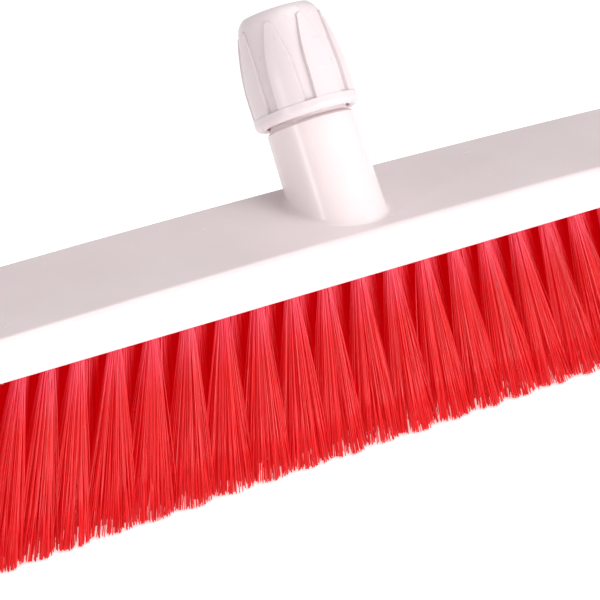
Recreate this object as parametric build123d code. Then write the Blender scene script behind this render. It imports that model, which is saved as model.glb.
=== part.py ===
from build123d import *
import os
from math import cos, pi, radians, sin, tan

os.makedirs("parts", exist_ok=True)

# Push broom head: a plastic block with seven rows of flared bristle tufts, a leaning
# handle socket rooted in the block, a grip sleeve and a screw-down locking collar.
#
# Frame: X along the block, +Y the way the handle leans, +Z up. The origin lies on the plane
# of the bristle tips, under the middle of the block. All sizes are millimetres and degrees.

# ---- block ----
BLOCK_LENGTH = 400.0
BLOCK_WIDTH = 55.0
MIDDLE_THICKNESS = 17.3          # the top is slightly arched along the block
END_THICKNESS = 14.4
BLOCK_CORNER_RADIUS = 12.0
TOP_EDGE_RADIUS = 2.6
UNDER_EDGE_RADIUS = 0.8

# ---- bristle field ----
BRISTLE_HEIGHT = 60.5            # from the block's underside to the tips
ROW_NAMES = ["front", "second", "third", "middle", "fifth", "sixth", "rear"]
SIDE_MARGIN = 5.3                # from an outer row's centre line to the block's side
MIDDLE_STEP = 7.425              # along the block; each row uses every second step
MIDDLE_SPAN = 127.0              # beyond this distance from the middle the steps are shorter
END_STEP = 5.7
END_MARGIN = 11.0                # from the last hole's centre to the block's end
SPREAD_ALONG = 0.117             # degrees of lean per mm from the middle, along the block
SPREAD_ACROSS = 0.60             # degrees of lean per mm from the middle, across the block
HOLE_DIAMETER = 4.8
HOLE_DEPTH = 12.0
TUFT_CLEARANCE = 0.05            # on the radius, inside the hole
STRAIGHT_OUT = 1.5               # the tuft stays straight this far out of its hole
TIP_SHARE = 0.75                 # width of a tuft's tip as a share of the tufts' spacing

# ---- flat wire anchors that hold the folded tufts ----
ANCHOR_BITE = 0.4                # into the plastic, at each end
ANCHOR_HEIGHT = 2.2
ANCHOR_THICKNESS = 0.4
FOLD_THICKNESS = 0.9             # filament between the anchor and the hole's floor

# ---- handle socket; "up" is along its leaning axis, from the top of the block ----
HANDLE_DIAMETER = 24.0
HANDLE_CLEARANCE = 0.15          # on the radius
SOCKET_LEAN = 31.0
TUBE_LENGTH = 32.5               # bare tube, up to the shoulder under the collar
TUBE_TAPER = 0.7                 # the foot's radius is larger than the shoulder's by this
SHOULDER_WIDTH = 1.95
SHOULDER_BEVEL = 1.0
SOCKET_FOOT_FILLET = 2.0
ROOT_DEPTH = 3.5                 # the socket's round root is let this far into the block
ROOT_MARGIN = 0.5                # of the root round the fillet, flush with the block's top
TUBE_SINK = 0.5                  # the tube's form runs this far down into the root
FLOOR_RISE = 0.3                 # lowest point of the bore's floor above the block's top
NECK_WALL = 2.55
NECK_LENGTH = 29.2
NECK_BEVEL = 0.4

# ---- thread ----
THREAD_PITCH = 4.0
THREAD_HEIGHT = 1.1
THREAD_CREST = 1.0
THREAD_ROOT = 2.1
THREAD_TURNS = 3.0
THREAD_CLEARANCE = 0.2
THREAD_START = 2.6               # from the collar's rim to the first turn on the neck
THREAD_RELIEF = 0.9              # plain bore past the last turn in the collar

# ---- locking collar; heights are from its rim ----
RIM_GAP = 1.3                    # between the tube's shoulder and the collar's rim
COLLAR_WALL = 4.0                # outside the thread
RIM_ROUNDING = 2.3
RIM_CHAMFER = 0.4
COLLAR_CLEARANCE = 0.4           # round the neck, above the thread
STRAIGHT_SIDE = 15.0             # straight sided up to here, then drawn in
FLANK_DROP = 13.2                # from the crown down to the flank's middle
SHOULDER_DROP = 5.7
RIB_INSETS = [0.25, 1.85, 3.4]   # ribs' surface inside the rim band: side, flank and shoulder
FLOOR_INSETS = [1.55, 2.9, 4.1]  # the same for the floor between the ribs
DOME_IN = 0.29                   # a point on the dome, as shares of the way from the shoulder
DOME_UP = 0.54                   # to the crown: so much of the way in is so much of the way up
ROOF_THICKNESS = 7.6
MOUTH_CLEARANCE = 0.4            # on the radius, round the handle
MOUTH_CHAMFER = 0.3
CROWN_WIDTH = 0.3                # flat ring round the mouth
RIB_COUNT = 8
RIB_FIRST_ANGLE = 41.6
BAND_HEIGHT = 4.6                # of the rim band that the ribs stand on
BAND_STEP = 0.25                 # height of the slope from the band to what stands on it
RIB_FOOT_SINK = 1.0              # the ribs' form runs this far down into the band
RIB_HEAD_DROP = 4.6              # from the crown down to the tip of a rib
# half the width of a rib at points going up from its foot: (share of the rib's height, mm)
RIB_OUTLINE = [(0.0, 5.35), (0.45, 4.85), (0.70, 3.7), (0.94, 1.6)]

# ---- grip sleeve and the pocket that carries it in the collar ----
LIP_GAP = 0.7                    # between the neck's end and the lip
LIP_THICKNESS = 1.0
LIP_CLEARANCE = 0.25
POCKET_HEIGHT = 4.0
HEAD_WIDTH = 1.05                # how far the sleeve's head stands out from its cone
SLEEVE_PLAY = 0.1                # along the axis, and radially in the pocket
SEAT_CLEARANCE = 0.2
SLEEVE_TOP_WALL = 1.7
SLEEVE_TIP_WALL = 0.7
SLEEVE_CONE = 9.3
SEAT_OVERRUN = 1.4               # the seat runs on this far below the sleeve's tip
SLEEVE_LEAD_IN = 0.5
SLEEVE_SLOTS = 4
SLEEVE_SLOT_WIDTH = 1.6

# ---- worked-out sizes ----
ROW_COUNT = len(ROW_NAMES)
ROW_PITCH = (BLOCK_WIDTH - 2 * SIDE_MARGIN) / (ROW_COUNT - 1)
UNDERSIDE = BRISTLE_HEIGHT
TOP_MIDDLE = UNDERSIDE + MIDDLE_THICKNESS
TUFT_RADIUS = HOLE_DIAMETER / 2 - TUFT_CLEARANCE
ANCHOR_LENGTH = HOLE_DIAMETER + 2 * ANCHOR_BITE
LEAN = radians(SOCKET_LEAN)
SOCKET = Plane(origin=(0, 0, TOP_MIDDLE), x_dir=(1, 0, 0), z_dir=(0, sin(LEAN), cos(LEAN)))

BORE_RADIUS = HANDLE_DIAMETER / 2 + HANDLE_CLEARANCE
BORE_FLOOR_UP = (FLOOR_RISE + BORE_RADIUS * sin(LEAN)) / cos(LEAN)
NECK_RADIUS = BORE_RADIUS + NECK_WALL
NECK_END_UP = TUBE_LENGTH + NECK_LENGTH
SHOULDER_RADIUS = NECK_RADIUS + SHOULDER_WIDTH
FOOT_RADIUS = SHOULDER_RADIUS + TUBE_TAPER
FOOT_REACH = FOOT_RADIUS / cos(LEAN)
FRONT_REACH = FOOT_REACH + SOCKET_FOOT_FILLET / tan(pi / 4 + LEAN / 2)
REAR_REACH = FOOT_REACH + SOCKET_FOOT_FILLET / tan(pi / 4 - LEAN / 2)
ROOT_RADIUS = (FRONT_REACH + REAR_REACH) / 2 + ROOT_MARGIN
ROOT_Y = (REAR_REACH - FRONT_REACH) / 2

COLLAR_UP = TUBE_LENGTH + RIM_GAP
SKIRT_RADIUS = NECK_RADIUS + THREAD_HEIGHT + THREAD_CLEARANCE
COLLAR_RADIUS = SKIRT_RADIUS + COLLAR_WALL
COLLAR_INNER_RADIUS = NECK_RADIUS + COLLAR_CLEARANCE
COLLAR_THREAD_START = THREAD_START + THREAD_PITCH / 2
SKIRT_END = COLLAR_THREAD_START + THREAD_PITCH * THREAD_TURNS + THREAD_RELIEF
LIP_HEIGHT = NECK_END_UP - COLLAR_UP + LIP_GAP
POCKET_FLOOR = LIP_HEIGHT + LIP_THICKNESS
POCKET_ROOF = POCKET_FLOOR + POCKET_HEIGHT
COLLAR_HEIGHT = POCKET_ROOF + ROOF_THICKNESS
MOUTH_RADIUS = HANDLE_DIAMETER / 2 + MOUTH_CLEARANCE

SLEEVE_TOP_RADIUS = BORE_RADIUS + SLEEVE_TOP_WALL
SLEEVE_TIP_RADIUS = BORE_RADIUS + SLEEVE_TIP_WALL
SLEEVE_TIP = LIP_HEIGHT - SLEEVE_CONE
SLEEVE_HEAD_RADIUS = SLEEVE_TOP_RADIUS + HEAD_WIDTH
POCKET_RADIUS = SLEEVE_HEAD_RADIUS + SLEEVE_PLAY
LIP_RADIUS = SLEEVE_TOP_RADIUS + LIP_CLEARANCE


def revolved(points):
    """A solid of revolution about the socket's axis; points are (radius, height)."""
    wire = Polyline(*[(r, 0, h) for r, h in points], close=True)
    return revolve(make_face(wire), Axis.Z, 360)


def in_socket(shape, up=0.0):
    """Place a shape made about the Z axis on the socket's axis, so far up it."""
    return SOCKET * Pos(0, 0, up) * shape


# ---------------------------------------------------------------- tufts
def stations():
    """Distances of the hole stations from the middle, along one half of the block."""
    last = BLOCK_LENGTH / 2 - END_MARGIN
    places = [0.0]
    while True:
        step = MIDDLE_STEP if places[-1] + MIDDLE_STEP < MIDDLE_SPAN else END_STEP
        if places[-1] + step > last:
            return places
        places.append(places[-1] + step)


def row_holes(row):
    """(x, y, distance to the next tuft in the row) for each hole of one row, left to right."""
    y = (row - (ROW_COUNT - 1) / 2) * ROW_PITCH
    places = stations()
    first = 0 if row % 2 else 1
    half = [(places[i], places[i] - places[max(i - 2, 0)]) for i in range(first, len(places), 2)]
    holes = []
    for x, gap in half:
        pitch = gap if x > MIDDLE_SPAN else 2 * MIDDLE_STEP
        holes.append((x, y, pitch))
        if x > 0:
            holes.append((-x, y, pitch))
    return sorted(holes)


def hole_frame(x, y):
    """A frame on the underside at a hole: Z runs down the tuft, Y across the block."""
    down = Vector(tan(radians(SPREAD_ALONG * x)), tan(radians(SPREAD_ACROSS * y)), -1)
    return Plane(origin=(x, y, UNDERSIDE), x_dir=Vector(0, 1, 0).cross(down), z_dir=down)


def slant(x, y):
    """Length along a tuft for one millimetre of height."""
    return (1 + tan(radians(SPREAD_ALONG * x)) ** 2 + tan(radians(SPREAD_ACROSS * y)) ** 2) ** 0.5


def anchor(x, y):
    """Flat wire anchor across the bottom of a hole, biting into the plastic at both ends."""
    depth = HOLE_DEPTH - FOLD_THICKNESS - ANCHOR_HEIGHT / 2
    return hole_frame(x, y) * Pos(0, 0, -depth) * Box(ANCHOR_THICKNESS, ANCHOR_LENGTH, ANCHOR_HEIGHT)


def hole(x, y):
    """Drilled hole, along the tuft, and open through the underside."""
    run_out = HOLE_DIAMETER
    body = Cylinder(HOLE_DIAMETER / 2, HOLE_DEPTH + run_out, align=(Align.CENTER, Align.CENTER, Align.MAX))
    return hole_frame(x, y) * Pos(0, 0, run_out) * body


def tuft(x, y, pitch):
    """One tuft: straight in its hole, spreading below it, trimmed flat at the tips."""
    top = -HOLE_DEPTH
    tip_radius = TIP_SHARE * pitch / 2
    spread = BRISTLE_HEIGHT * slant(x, y) - STRAIGHT_OUT
    over = 6.0
    end_radius = TUFT_RADIUS + (tip_radius - TUFT_RADIUS) * (spread + over) / spread
    outline = Polyline(
        (0, 0, top),
        (TUFT_RADIUS, 0, top),
        (TUFT_RADIUS, 0, STRAIGHT_OUT),
        (end_radius, 0, STRAIGHT_OUT + spread + over),
        (0, 0, STRAIGHT_OUT + spread + over),
        close=True,
    )
    body = hole_frame(x, y) * revolve(make_face(outline), Axis.Z, 360)
    body = split(body, Plane.XY, keep=Keep.TOP)
    return body - anchor(x, y)


# ---------------------------------------------------------------- block and socket
def block_body():
    """Arched bar with rounded corners and edges."""
    half = BLOCK_LENGTH / 2
    top = ThreePointArc(
        (half, 0, UNDERSIDE + END_THICKNESS),
        (0, 0, TOP_MIDDLE),
        (-half, 0, UNDERSIDE + END_THICKNESS),
    )
    sides = Polyline(
        (-half, 0, UNDERSIDE + END_THICKNESS),
        (-half, 0, UNDERSIDE),
        (half, 0, UNDERSIDE),
        (half, 0, UNDERSIDE + END_THICKNESS),
    )
    bar = extrude(make_face([top, sides]), BLOCK_WIDTH / 2, dir=(0, 1, 0), both=True)
    bar = fillet(bar.edges().filter_by(Axis.Z), BLOCK_CORNER_RADIUS)
    bar = fillet(bar.faces().sort_by(Axis.Z)[-1].edges(), TOP_EDGE_RADIUS)
    return fillet(bar.faces().sort_by(Axis.Z)[0].edges(), UNDER_EDGE_RADIUS)


def root_form():
    """Upright round form that parts the socket's root from the block."""
    tall = ROOT_DEPTH + TOP_EDGE_RADIUS
    form = Cylinder(ROOT_RADIUS, tall, align=(Align.CENTER, Align.CENTER, Align.MIN))
    return Pos(0, ROOT_Y, TOP_MIDDLE - ROOT_DEPTH) * form


def tube_form():
    """Tapered tube with a bevelled shoulder and a plain neck, running just into the root."""
    buried = FOOT_RADIUS * tan(LEAN) + 2 * SOCKET_FOOT_FILLET
    buried_radius = FOOT_RADIUS + buried * TUBE_TAPER / TUBE_LENGTH
    tube = revolved([
        (0, -buried),
        (buried_radius, -buried),
        (SHOULDER_RADIUS, TUBE_LENGTH - SHOULDER_BEVEL),
        (SHOULDER_RADIUS - SHOULDER_BEVEL, TUBE_LENGTH),
        (NECK_RADIUS, TUBE_LENGTH),
        (NECK_RADIUS, NECK_END_UP - NECK_BEVEL),
        (NECK_RADIUS - NECK_BEVEL, NECK_END_UP),
        (0, NECK_END_UP),
    ])
    return split(in_socket(tube), Plane.XY.offset(TOP_MIDDLE - TUBE_SINK), keep=Keep.TOP)


def seat_radius(height):
    """Radius of the sleeve's seat in the neck, at a height above the collar's rim."""
    slope = (SLEEVE_TOP_RADIUS - SLEEVE_TIP_RADIUS) / SLEEVE_CONE
    return SLEEVE_TIP_RADIUS + slope * (height - SLEEVE_TIP) + SEAT_CLEARANCE


def socket_bore():
    """Blind bore for the handle, with the sleeve's seat at its mouth."""
    seat_foot = SLEEVE_TIP - SEAT_OVERRUN
    mouth = seat_radius(NECK_END_UP - COLLAR_UP)
    over = 2.0
    return in_socket(revolved([
        (0, BORE_FLOOR_UP),
        (BORE_RADIUS, BORE_FLOOR_UP),
        (BORE_RADIUS, COLLAR_UP + seat_foot),
        (seat_radius(seat_foot), COLLAR_UP + seat_foot),
        (mouth, NECK_END_UP),
        (mouth, NECK_END_UP + over),
        (0, NECK_END_UP + over),
    ]))


def helical_ridge(root_radius, crest_radius):
    """Trapezoidal ridge that winds up the Z axis, from a root radius to a crest radius."""
    sink = 0.3 if crest_radius > root_radius else -0.3
    path = Helix(THREAD_PITCH, THREAD_PITCH * THREAD_TURNS, root_radius)
    slope = (THREAD_ROOT - THREAD_CREST) / 2 / THREAD_HEIGHT
    wide = THREAD_ROOT / 2 + slope * abs(sink)
    outline = Polyline(
        (root_radius - sink, 0, -wide),
        (root_radius - sink, 0, wide),
        (crest_radius, 0, THREAD_CREST / 2),
        (crest_radius, 0, -THREAD_CREST / 2),
        close=True,
    )
    return sweep(make_face(outline), path=path, is_frenet=True)


def is_foot_edge(edge):
    """True for the closed edge where the tube leaves the block's top."""
    box = edge.bounding_box()
    as_wide = abs(box.size.X - 2 * FOOT_RADIUS) < SOCKET_FOOT_FILLET
    on_top = abs(box.max.Z - TOP_MIDDLE) < 0.3
    return as_wide and on_top and box.size.Z < 0.5


def socket_tube():
    """The leaning handle socket: round root, tube, thread, and the bore for the handle."""
    body = (block_body() & root_form()) + tube_form()
    body = fillet(body.edges().filter_by(is_foot_edge), SOCKET_FOOT_FILLET)
    thread = helical_ridge(NECK_RADIUS, NECK_RADIUS + THREAD_HEIGHT)
    body += in_socket(thread, COLLAR_UP + THREAD_START)
    return body - socket_bore()


def broom_block():
    """The block: arched bar with the tuft holes and the seat for the socket's root."""
    cutters = [root_form()]
    for row in range(ROW_COUNT):
        for x, y, gap in row_holes(row):
            cutters += [hole(x, y), anchor(x, y)]
    return block_body() - cutters


# ---------------------------------------------------------------- collar and sleeve
def rib_prism():
    """Lancet-shaped prism that limits one rib, at angle 0 round the collar."""
    foot = BAND_HEIGHT - RIB_FOOT_SINK
    tall = COLLAR_HEIGHT - RIB_HEAD_DROP - foot
    low, side, flank, shoulder = [(half, foot + share * tall) for share, half in RIB_OUTLINE]
    half_outline = [
        Line((0, foot), low),
        Line(low, side),
        ThreePointArc(side, flank, shoulder),
    ]
    head = ThreePointArc(shoulder, (0, foot + tall), (-shoulder[0], shoulder[1]))
    other_half = [mirror(edge, Plane.YZ) for edge in half_outline]
    upright = Plane(origin=(COLLAR_INNER_RADIUS / 2, 0, 0), x_dir=(0, 1, 0), z_dir=(1, 0, 0))
    return extrude(upright * make_face([*half_outline, head, *other_half]), COLLAR_RADIUS)


def collar_form(insets):
    """Solid outer form of the collar about the Z axis, with its sides inside the rim band."""
    corner = RIM_ROUNDING * (1 - sin(pi / 4))
    side = COLLAR_RADIUS - insets[0]
    flank = (COLLAR_RADIUS - insets[1], 0, COLLAR_HEIGHT - FLANK_DROP)
    shoulder = (COLLAR_RADIUS - insets[2], 0, COLLAR_HEIGHT - SHOULDER_DROP)
    crown = (MOUTH_RADIUS + MOUTH_CHAMFER + CROWN_WIDTH, 0, COLLAR_HEIGHT)
    dome = (
        shoulder[0] - DOME_IN * (shoulder[0] - crown[0]),
        0,
        shoulder[2] + DOME_UP * SHOULDER_DROP,
    )
    outline = [
        Line((0, 0, 0), (COLLAR_RADIUS - RIM_ROUNDING, 0, 0)),
        ThreePointArc(
            (COLLAR_RADIUS - RIM_ROUNDING, 0, 0),
            (COLLAR_RADIUS - corner, 0, corner),
            (COLLAR_RADIUS, 0, RIM_ROUNDING),
        ),
        Line((COLLAR_RADIUS, 0, RIM_ROUNDING), (COLLAR_RADIUS, 0, BAND_HEIGHT - BAND_STEP)),
        Line((COLLAR_RADIUS, 0, BAND_HEIGHT - BAND_STEP), (side, 0, BAND_HEIGHT)),
        Line((side, 0, BAND_HEIGHT), (side, 0, STRAIGHT_SIDE)),
        ThreePointArc((side, 0, STRAIGHT_SIDE), flank, shoulder),
        ThreePointArc(shoulder, dome, crown),
        Line(crown, (0, 0, COLLAR_HEIGHT)),
        Line((0, 0, COLLAR_HEIGHT), (0, 0, 0)),
    ]
    return revolve(make_face(outline), Axis.Z, 360)


def collar_inside():
    """The space inside the collar: threaded skirt, clearance, lip, pocket and mouth."""
    step = SKIRT_RADIUS - COLLAR_INNER_RADIUS
    over = 1.0
    return revolved([
        (0, -over),
        (SKIRT_RADIUS + RIM_CHAMFER + over, -over),
        (SKIRT_RADIUS + RIM_CHAMFER, 0),
        (SKIRT_RADIUS, RIM_CHAMFER),
        (SKIRT_RADIUS, SKIRT_END),
        (COLLAR_INNER_RADIUS, SKIRT_END + step),
        (COLLAR_INNER_RADIUS, LIP_HEIGHT),
        (LIP_RADIUS, LIP_HEIGHT),
        (LIP_RADIUS, POCKET_FLOOR),
        (POCKET_RADIUS, POCKET_FLOOR),
        (POCKET_RADIUS, POCKET_ROOF),
        (MOUTH_RADIUS, POCKET_ROOF),
        (MOUTH_RADIUS, COLLAR_HEIGHT - MOUTH_CHAMFER),
        (MOUTH_RADIUS + MOUTH_CHAMFER, COLLAR_HEIGHT),
        (MOUTH_RADIUS + MOUTH_CHAMFER, COLLAR_HEIGHT + over),
        (0, COLLAR_HEIGHT + over),
    ])


def locking_collar():
    """Domed nut with lancet ribs, which screws down the socket's neck."""
    body = collar_form(FLOOR_INSETS)
    rib = collar_form(RIB_INSETS) & rib_prism()
    for i in range(RIB_COUNT):
        body += Rot(0, 0, RIB_FIRST_ANGLE + i * 360 / RIB_COUNT) * rib
    body -= collar_inside()
    body += Pos(0, 0, COLLAR_THREAD_START) * helical_ridge(SKIRT_RADIUS, SKIRT_RADIUS - THREAD_HEIGHT)
    return in_socket(body, COLLAR_UP)


def grip_sleeve():
    """Split cone that closes on the handle; its head turns freely in the collar's pocket."""
    head_low = POCKET_FLOOR + SLEEVE_PLAY
    head_high = POCKET_ROOF - SLEEVE_PLAY
    body = revolved([
        (BORE_RADIUS, SLEEVE_TIP),
        (SLEEVE_TIP_RADIUS, SLEEVE_TIP),
        (SLEEVE_TOP_RADIUS, LIP_HEIGHT),
        (SLEEVE_TOP_RADIUS, head_low),
        (SLEEVE_HEAD_RADIUS, head_low),
        (SLEEVE_HEAD_RADIUS, head_high),
        (BORE_RADIUS + SLEEVE_LEAD_IN, head_high),
        (BORE_RADIUS, head_high - SLEEVE_LEAD_IN),
    ])
    over = 1.0
    slot = Box(
        SLEEVE_SLOT_WIDTH,
        POCKET_RADIUS,
        POCKET_FLOOR - SLEEVE_TIP + over,
        align=(Align.CENTER, Align.MIN, Align.MIN),
    )
    for i in range(SLEEVE_SLOTS):
        body -= Rot(0, 0, i * 360 / SLEEVE_SLOTS) * Pos(0, 0, SLEEVE_TIP - over) * slot
    return in_socket(body, COLLAR_UP)


# ---------------------------------------------------------------- write every node
nodes = {
    "broom_block": broom_block(),
    "socket_tube": socket_tube(),
    "locking_collar": locking_collar(),
    "grip_sleeve": grip_sleeve(),
}
for row, name in enumerate(ROW_NAMES):
    holes = row_holes(row)
    nodes[name + "_tuft_row"] = Compound(children=[tuft(*place) for place in holes])
    nodes[name + "_row_anchors"] = Compound(children=[anchor(x, y) for x, y, gap in holes])

for name, shape in nodes.items():
    export_step(shape, "parts/" + name + ".step")
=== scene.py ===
"""Push broom head on a pale floor: red filament tufts, moulded block, fluted locking collar.

Everything is in metres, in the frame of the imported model: X along the block, +Y the way the
handle leans, Z up, with the bristle tips on the plane Z = 0.
"""

import math

import bpy
import numpy as np
from mathutils import Matrix, Vector


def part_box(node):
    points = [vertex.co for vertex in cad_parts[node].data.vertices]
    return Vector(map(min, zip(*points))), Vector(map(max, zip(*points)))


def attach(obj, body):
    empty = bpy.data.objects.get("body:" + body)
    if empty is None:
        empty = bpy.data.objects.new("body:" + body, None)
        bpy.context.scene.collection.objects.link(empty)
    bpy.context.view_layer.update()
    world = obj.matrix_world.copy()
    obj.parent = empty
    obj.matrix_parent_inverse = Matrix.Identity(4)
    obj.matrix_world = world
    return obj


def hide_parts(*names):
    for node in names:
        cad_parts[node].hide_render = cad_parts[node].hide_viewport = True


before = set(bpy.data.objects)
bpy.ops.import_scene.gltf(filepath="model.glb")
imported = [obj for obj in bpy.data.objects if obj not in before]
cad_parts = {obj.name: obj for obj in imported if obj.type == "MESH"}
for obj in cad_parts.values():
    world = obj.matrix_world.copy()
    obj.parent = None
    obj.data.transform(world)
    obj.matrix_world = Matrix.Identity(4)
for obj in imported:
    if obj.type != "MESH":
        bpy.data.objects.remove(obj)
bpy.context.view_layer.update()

MM = 0.001
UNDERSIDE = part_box("broom_block")[0].z
ROWS = ("front", "second", "third", "middle", "fifth", "sixth", "rear")

# strands in each tuft; the outer rows are the ones that show
STRANDS = {"front": 220, "second": 200, "third": 150, "middle": 150, "fifth": 150, "sixth": 200, "rear": 220}
STRAND_RADIUS = 0.15 * MM
BUNDLE_RADIUS = 2.2 * MM          # of the tuft inside its hole
TIP_REACH_ACROSS = 7.4 * MM       # how far the outermost tips stand from the tuft's axis, across the block
TIP_LIMIT_ACROSS = 8.2 * MM
TIP_OVERLAP = 1.36                # share of half the spacing that the tips reach along the row
CLUMPS = 16                       # strands lean together in this many clumps in a tuft
CLUMP_PULL = 0.15                 # share of the way to the middle of its clump that a tip is drawn
TIP_SCATTER = 0.03                # of a tip about its place, as a share of the tuft's reach
RIM_CROWDING = 0.36               # strands stand at this power of an even draw; 0.5 is an even disc
OUTWARD_POWER = 1.05              # how a strand moves out, as a power of its free length's share
BOW = 0.55 * MM
RIM_LIFT = 0.7 * MM               # of the outermost tips above the floor
UNEVEN_LIFT = 0.10 * MM
STRAY_SHARE = 0.008
STRAY_AWAY = 1.6 * MM
STRAY_LIFT = 1.5 * MM
FLOOR_GAP = 0.02 * MM
SPLAYED_TIP = 0.5                 # a strand is this share wider at its tip
STRAND_SIDES = 3
RING_PLACES = (0.25, 0.5, 0.75, 1.0)   # rings down the free length, as shares of it
INSIDE_HOLE = 9.5 * MM            # tuft points this far above the block's underside are in a hole
AT_TIPS = 0.05 * MM               # tuft points below this height are tips
HOLE_GAP = 3.0 * MM               # a wider gap along the row parts two tufts in their holes
TIP_GAP = 2.4 * MM                # and at their tips


# ---------------------------------------------------------------- node helpers
def new_material(name):
    """A plain node material; returns it with its node tree and its shader."""
    material = bpy.data.materials.new(name)
    material.use_nodes = True
    tree = material.node_tree
    tree.nodes.clear()
    shader = tree.nodes.new("ShaderNodeBsdfPrincipled")
    output = tree.nodes.new("ShaderNodeOutputMaterial")
    tree.links.new(shader.outputs["BSDF"], output.inputs["Surface"])
    return material, tree, shader


def noise(tree, coordinates, scale, detail=3.0, roughness=0.5):
    """A noise pattern's value, on the given coordinates."""
    node = tree.nodes.new("ShaderNodeTexNoise")
    node.inputs["Scale"].default_value = scale
    node.inputs["Detail"].default_value = detail
    node.inputs["Roughness"].default_value = roughness
    tree.links.new(coordinates, node.inputs["Vector"])
    return node.outputs["Fac"]


def ramp(tree, value, stops):
    """Colours along a value; stops are (place, (r, g, b))."""
    node = tree.nodes.new("ShaderNodeValToRGB")
    elements = node.color_ramp.elements
    while len(elements) < len(stops):
        elements.new(0.5)
    for element, (place, colour) in zip(elements, stops):
        element.position = place
        element.color = (*colour, 1.0)
    tree.links.new(value, node.inputs["Fac"])
    return node.outputs["Color"]


def spread(tree, value, low, high):
    """Carries a value from 0..1 to low..high."""
    node = tree.nodes.new("ShaderNodeMapRange")
    node.inputs["To Min"].default_value = low
    node.inputs["To Max"].default_value = high
    tree.links.new(value, node.inputs["Value"])
    return node.outputs["Result"]


def bump(tree, height, depth, normal=None):
    """A bump whose full height is depth, in metres, laid over another normal."""
    node = tree.nodes.new("ShaderNodeBump")
    node.inputs["Strength"].default_value = 1.0
    node.inputs["Distance"].default_value = depth
    tree.links.new(height, node.inputs["Height"])
    if normal is not None:
        tree.links.new(normal, node.inputs["Normal"])
    return node.outputs["Normal"]


def soft_edges(tree, radius):
    """A normal that rounds the sharp edges by a radius, in metres."""
    node = tree.nodes.new("ShaderNodeBevel")
    node.samples = 4
    node.inputs["Radius"].default_value = radius
    return node.outputs["Normal"]


# ---------------------------------------------------------------- materials
def moulded_plastic(name, light, dark, rough, grain_depth, edge_radius=0.0):
    """Smooth white plastic: faint clouding of its tint, uneven gloss, and a fine moulded grain
    over the slow ripple that a thick moulding shrinks into."""
    material, tree, shader = new_material(name)
    place = tree.nodes.new("ShaderNodeTexCoord").outputs["Object"]
    clouds = noise(tree, place, 22.0, detail=4.0)
    tree.links.new(ramp(tree, clouds, ((0.35, dark), (0.65, light))), shader.inputs["Base Color"])
    gloss = noise(tree, place, 140.0, detail=5.0, roughness=0.6)
    tree.links.new(spread(tree, gloss, rough - 0.05, rough + 0.07), shader.inputs["Roughness"])
    edges = soft_edges(tree, edge_radius) if edge_radius else None
    ripple = bump(tree, noise(tree, place, 26.0, detail=0.0), 0.10 * MM, edges)
    grain = bump(tree, noise(tree, place, 1500.0, detail=2.0), grain_depth, ripple)
    tree.links.new(grain, shader.inputs["Normal"])
    shader.inputs["IOR"].default_value = 1.49
    shader.inputs["Subsurface Weight"].default_value = 0.12
    shader.inputs["Subsurface Radius"].default_value = (1.0, 0.55, 0.5)
    shader.inputs["Subsurface Scale"].default_value = 2.5 * MM
    return material


def red_filament():
    """Extruded red filament: each strand has its own tone of red, and a painted pinkish highlight
    lies on it where it leaves its hole.
    A clear filament passes red light on to the next; that light in the bundle's depth is painted
    in as a red glow of its own, which lifts the shade between the strands. The UV map holds the
    strand's own number in U and the share of its free length in V."""
    material, tree, shader = new_material("red filament")
    uv = tree.nodes.new("ShaderNodeUVMap")
    uv.uv_map = "strand"
    split = tree.nodes.new("ShaderNodeSeparateXYZ")
    tree.links.new(uv.outputs["UV"], split.inputs["Vector"])
    own, along = split.outputs["X"], split.outputs["Y"]
    deep, middling, light = (0.52, 0.002, 0.004), (0.68, 0.004, 0.007), (0.80, 0.016, 0.020)
    shade = ramp(tree, own, ((0.0, deep), (0.45, middling), (1.0, light)))
    # painted highlight: a pinkish lift added to the colour of every strand near its root
    painted_root_highlight = ramp(tree, along, ((0.0, (0.10, 0.06, 0.12)), (0.32, (0.0, 0.0, 0.0))))
    blend = tree.nodes.new("ShaderNodeMix")
    blend.data_type = "RGBA"
    blend.blend_type = "ADD"
    blend.inputs["Factor"].default_value = 1.0
    tree.links.new(shade, blend.inputs["A"])
    tree.links.new(painted_root_highlight, blend.inputs["B"])
    tree.links.new(blend.outputs["Result"], shader.inputs["Base Color"])
    tree.links.new(spread(tree, own, 0.26, 0.42), shader.inputs["Roughness"])
    shader.inputs["IOR"].default_value = 1.55
    # painted glow: a red emission that lifts the shade deep in the bundle
    shader.inputs["Emission Color"].default_value = (1.0, 0.0, 0.006, 1)
    shader.inputs["Emission Strength"].default_value = 0.20
    return material


def galvanised_wire():
    """Dull zinc-coated wire with a mottled spangle."""
    material, tree, shader = new_material("galvanised wire")
    place = tree.nodes.new("ShaderNodeTexCoord").outputs["Object"]
    spangle = noise(tree, place, 900.0, detail=2.0)
    dull, bright = (0.42, 0.43, 0.44), (0.62, 0.63, 0.64)
    tree.links.new(ramp(tree, spangle, ((0.3, dull), (0.7, bright))), shader.inputs["Base Color"])
    tree.links.new(spread(tree, spangle, 0.30, 0.50), shader.inputs["Roughness"])
    shader.inputs["Metallic"].default_value = 1.0
    return material


# ---------------------------------------------------------------- bristles
def centres(points, gap):
    """Middles of the clusters of points, left to right; a gap in X wider than gap parts two."""
    points = points[np.argsort(points[:, 0])]
    parts = np.split(points, np.nonzero(np.diff(points[:, 0]) > gap)[0] + 1)
    return np.array([(part.min(0) + part.max(0)) / 2 for part in parts])


def tuft_axes(node):
    """Where each tuft of a row starts, at its hole's floor, and where its tips end."""
    co = np.empty(len(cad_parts[node].data.vertices) * 3, np.float32)
    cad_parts[node].data.vertices.foreach_get("co", co)
    co = co.reshape(-1, 3).astype(float)
    in_hole = co[co[:, 2] > UNDERSIDE + INSIDE_HOLE]
    at_tips = co[co[:, 2] < AT_TIPS]
    return centres(in_hole, HOLE_GAP), centres(at_tips, TIP_GAP)


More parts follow.
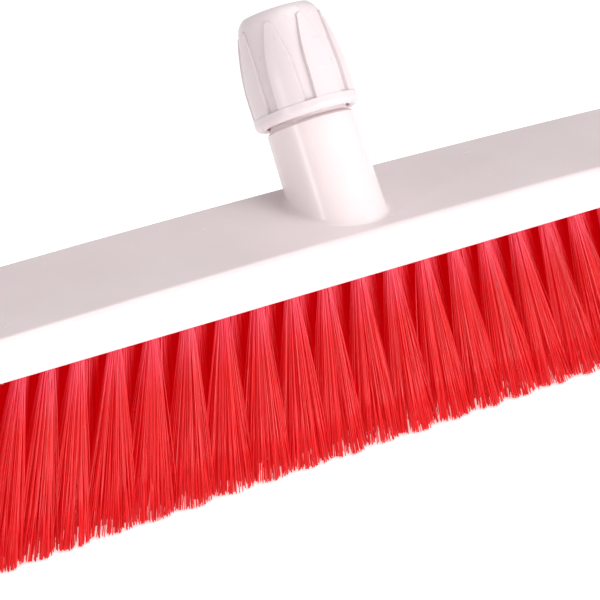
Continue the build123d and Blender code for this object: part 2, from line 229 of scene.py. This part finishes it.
def strand_paths(roots, tips, per_tuft, rng):
    """Centre line of every strand of a row, as an array (strand, ring, 3), each strand's number,
    and the share of the free length at each ring.

    A strand runs along its tuft's axis and keeps to its own place in the bundle inside the hole.
    Below the hole it moves out from that place to its place among the tips, as a power of the
    share f of its free length, and bows to one side by a little of its own, as 4 f (1 - f).
    Its place among the tips is the bundle's disc stretched to the tuft's width, drawn part of the
    way to the middle of its clump. Its tip is lifted by the square of its place's distance from
    the disc's middle, as an outer strand is no longer than the rest, and the lift grows with the
    square of f.
    """
    count = len(roots)
    spacing = np.gradient(tips[:, 0])
    shape = (count, per_tuft)
    turn = rng.uniform(0, 2 * math.pi, shape)
    out = rng.uniform(0, 1, shape) ** RIM_CROWDING
    disc = np.stack([out * np.cos(turn), out * np.sin(turn)], -1)
    clump_turn = rng.uniform(0, 2 * math.pi, (count, CLUMPS))
    clump_out = np.sqrt(rng.uniform(0, 1, (count, CLUMPS)))
    clumps = np.stack([clump_out * np.cos(clump_turn), clump_out * np.sin(clump_turn)], -1)
    away = np.linalg.norm(disc[:, :, None, :] - clumps[:, None, :, :], axis=-1)
    nearest = away.argmin(-1)
    middle = np.take_along_axis(clumps, nearest[..., None], 1)
    tip_disc = disc + (middle - disc) * CLUMP_PULL + rng.normal(0, TIP_SCATTER, (*shape, 2))

    reach = np.stack([spacing / 2 * TIP_OVERLAP, np.full(count, TIP_REACH_ACROSS)], -1)
    root_place = disc * BUNDLE_RADIUS
    tip_place = tip_disc * reach[:, None, :]
    bow = rng.normal(0, BOW, (*shape, 2))
    stray = rng.uniform(0, 1, shape) < STRAY_SHARE
    tip_place += stray[..., None] * rng.normal(0, STRAY_AWAY, (*shape, 2))
    tip_place[..., 1] = np.clip(tip_place[..., 1], -TIP_LIMIT_ACROSS, TIP_LIMIT_ACROSS)
    uneven = np.abs(rng.normal(0, UNEVEN_LIFT, shape))
    lift = RIM_LIFT * out ** 2 + uneven + stray * rng.uniform(0, STRAY_LIFT, shape)

    mouth = (roots[:, 2] - UNDERSIDE) / (roots[:, 2] - tips[:, 2])
    free = np.concatenate([[0.0, 0.0], RING_PLACES])
    share = mouth[:, None] + (1 - mouth[:, None]) * free
    share[:, 0] = 0.0
    axis = roots[:, None, :] + (tips - roots)[:, None, :] * share[..., None]
    paths = np.repeat(axis[:, None], per_tuft, axis=1)
    grown = (free ** OUTWARD_POWER)[None, None, :, None]
    bend = (free * (1 - free) * 4)[None, None, :, None]
    offset = root_place[:, :, None] + (tip_place - root_place)[:, :, None] * grown + bow[:, :, None] * bend
    paths[..., :2] += offset
    paths[..., 2] += lift[..., None] * free ** 2
    paths[..., 2] = np.maximum(paths[..., 2], FLOOR_GAP)
    return paths.reshape(-1, len(free), 3), rng.uniform(0, 1, count * per_tuft), free


def strand_mesh(name, paths, numbers, free, rng):
    """One mesh of closed three-sided tubes: three points round each ring of each path, quads
    between rings, and a triangle across each end. A tube widens with the square of its free
    length's share. Its UV map holds number and free share."""
    strands, rings, _ = paths.shape
    sides = STRAND_SIDES
    turn = rng.uniform(0, 2 * math.pi, strands)[:, None] + np.arange(sides) * 2 * math.pi / sides
    ring = np.stack([np.cos(turn), np.sin(turn), np.zeros_like(turn)], -1) * STRAND_RADIUS
    width = 1 + SPLAYED_TIP * free ** 2
    points = paths[:, :, None, :] + ring[:, None, :, :] * width[None, :, None, None]

    start = (np.arange(strands) * rings * sides)[:, None, None]
    low = start + (np.arange(rings - 1) * sides)[None, :, None] + np.arange(sides)
    low_next = start + (np.arange(rings - 1) * sides)[None, :, None] + (np.arange(sides) + 1) % sides
    quads = np.stack([low, low + sides, low_next + sides, low_next], -1).reshape(-1, 4)
    first = start[:, 0] + np.arange(sides)
    last = start[:, 0] + (rings - 1) * sides + np.arange(sides)[::-1]
    caps = np.concatenate([first, last])
    corners = np.concatenate([quads.ravel(), caps.ravel()])
    sizes = np.concatenate([np.full(len(quads), 4), np.full(len(caps), sides)])

    mesh = bpy.data.meshes.new(name)
    mesh.vertices.add(points.size // 3)
    mesh.vertices.foreach_set("co", points.astype(np.float32).ravel())
    mesh.loops.add(len(corners))
    mesh.loops.foreach_set("vertex_index", corners.astype(np.int32))
    mesh.polygons.add(len(sizes))
    mesh.polygons.foreach_set("loop_start", (np.cumsum(sizes) - sizes).astype(np.int32))
    mesh.polygons.foreach_set("use_smooth", np.ones(len(sizes), bool))
    uv_of_point = np.stack(
        [np.repeat(numbers, rings * sides), np.tile(np.repeat(free, sides), strands)], -1
    )
    mesh.uv_layers.new(name="strand").data.foreach_set("uv", uv_of_point[corners].astype(np.float32).ravel())
    mesh.update()
    mesh.validate()
    return mesh


def bristle_row(row, index, material):
    """All the strands of one row of tufts, in place of the row's plain solids."""
    node = row + "_tuft_row"
    rng = np.random.default_rng(100 + index)
    roots, tips = tuft_axes(node)
    if len(roots) != len(tips):
        raise ValueError("the tufts of " + node + " can't be told apart")
    paths, numbers, free = strand_paths(roots, tips, STRANDS[row], rng)
    mesh = strand_mesh(row + "_bristles", paths, numbers, free, rng)
    mesh.materials.append(material)
    piece = bpy.data.objects.new(row + "_bristles", mesh)
    bpy.context.scene.collection.objects.link(piece)
    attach(piece, "broom_head")
    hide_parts(node)
    return piece


# ---------------------------------------------------------------- stage, light and camera
def pale_floor():
    """A wide pale floor under the tips."""
    half = 4.0
    mesh = bpy.data.meshes.new("floor")
    corners = [(-half, -half, 0), (half, -half, 0), (half, half, 0), (-half, half, 0)]
    mesh.from_pydata(corners, [], [(0, 1, 2, 3)])
    floor = bpy.data.objects.new("floor", mesh)
    bpy.context.scene.collection.objects.link(floor)
    material, tree, shader = new_material("pale floor")
    shader.inputs["Base Color"].default_value = (0.9, 0.9, 0.9, 1)
    shader.inputs["Roughness"].default_value = 0.9
    shader.inputs["Emission Color"].default_value = (1, 1, 1, 1)
    shader.inputs["Emission Strength"].default_value = 0.45
    mesh.materials.append(material)


def outward(azimuth, elevation):
    """The unit vector that points from the origin to a compass place, in degrees; azimuth 0 is -Y."""
    a, e = math.radians(azimuth), math.radians(elevation)
    return Vector((math.sin(a) * math.cos(e), -math.cos(a) * math.cos(e), math.sin(e)))


def soft_box(name, azimuth, elevation, distance, width, height, power, lean=0.0):
    """An area light aimed at the middle of the broom head. Azimuth 0 is in front of it (-Y); lean
    turns its upright side, in degrees."""
    aim = Vector((0, 0, 0.08))
    back = outward(azimuth, elevation)
    light = bpy.data.lights.new(name, "AREA")
    light.shape = "RECTANGLE"
    light.size = width
    light.size_y = height
    light.energy = power
    lamp = bpy.data.objects.new(name, light)
    turn = back.to_track_quat("Z", "Y").to_matrix().to_4x4() @ Matrix.Rotation(math.radians(lean), 4, "Z")
    lamp.matrix_world = Matrix.Translation(aim + back * distance) @ turn
    bpy.context.scene.collection.objects.link(lamp)


def room_light(strength):
    """Even white light from all round."""
    world = bpy.data.worlds.new("studio")
    world.use_nodes = True
    background = world.node_tree.nodes["Background"]
    background.inputs["Color"].default_value = (1.0, 1.0, 1.0, 1)
    background.inputs["Strength"].default_value = strength
    bpy.context.scene.world = world


def camera():
    """A long lens in front of the block, to the left of it and above."""
    distance, aside, lower = 0.95182, -0.01351, -0.01891
    back = outward(-36.20, 23.82)
    right = Vector((0, 0, 1)).cross(back).normalized()
    up = back.cross(right)
    data = bpy.data.cameras.new("camera")
    data.sensor_width = 36.0
    data.lens = 154.1
    data.clip_start = 0.01
    eye = bpy.data.objects.new("camera", data)
    eye.matrix_world = Matrix(
        (
            (right.x, up.x, back.x, 0),
            (right.y, up.y, back.y, 0),
            (right.z, up.z, back.z, 0),
            (0, 0, 0, 1),
        )
    )
    eye.location = Vector((0, 0, UNDERSIDE)) + back * distance + right * aside + up * lower
    bpy.context.scene.collection.objects.link(eye)
    bpy.context.scene.camera = eye


def give(node, material):
    """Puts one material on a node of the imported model."""
    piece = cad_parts[node]
    piece.data.materials.clear()
    piece.data.materials.append(material)


# ---------------------------------------------------------------- the broom head
block_plastic = moulded_plastic(
    "block plastic", light=(0.86, 0.745, 0.75), dark=(0.82, 0.70, 0.71), rough=0.24, grain_depth=0.010 * MM
)
collar_plastic = moulded_plastic(
    "collar plastic", light=(0.80, 0.705, 0.72), dark=(0.76, 0.66, 0.68), rough=0.28,
    grain_depth=0.008 * MM, edge_radius=0.4 * MM
)
sleeve_plastic = moulded_plastic(
    "sleeve plastic", light=(0.80, 0.78, 0.72), dark=(0.74, 0.72, 0.66), rough=0.38, grain_depth=0.010 * MM
)
give("broom_block", block_plastic)
give("socket_tube", block_plastic)
give("locking_collar", collar_plastic)
give("grip_sleeve", sleeve_plastic)
wire = galvanised_wire()
filament = red_filament()
for index, row in enumerate(ROWS):
    give(row + "_row_anchors", wire)
    bristle_row(row, index, filament)

pale_floor()
room_light(0.42)
soft_box("key", azimuth=16, elevation=5, distance=1.6, width=1.0, height=0.6, power=19)
soft_box("top", azimuth=60, elevation=78, distance=1.6, width=1.2, height=1.2, power=11)
soft_box("streak", azimuth=-75, elevation=7, distance=1.2, width=0.07, height=0.9, power=3.5, lean=31)
camera()
bpy.context.scene.view_settings.view_transform = "Standard"
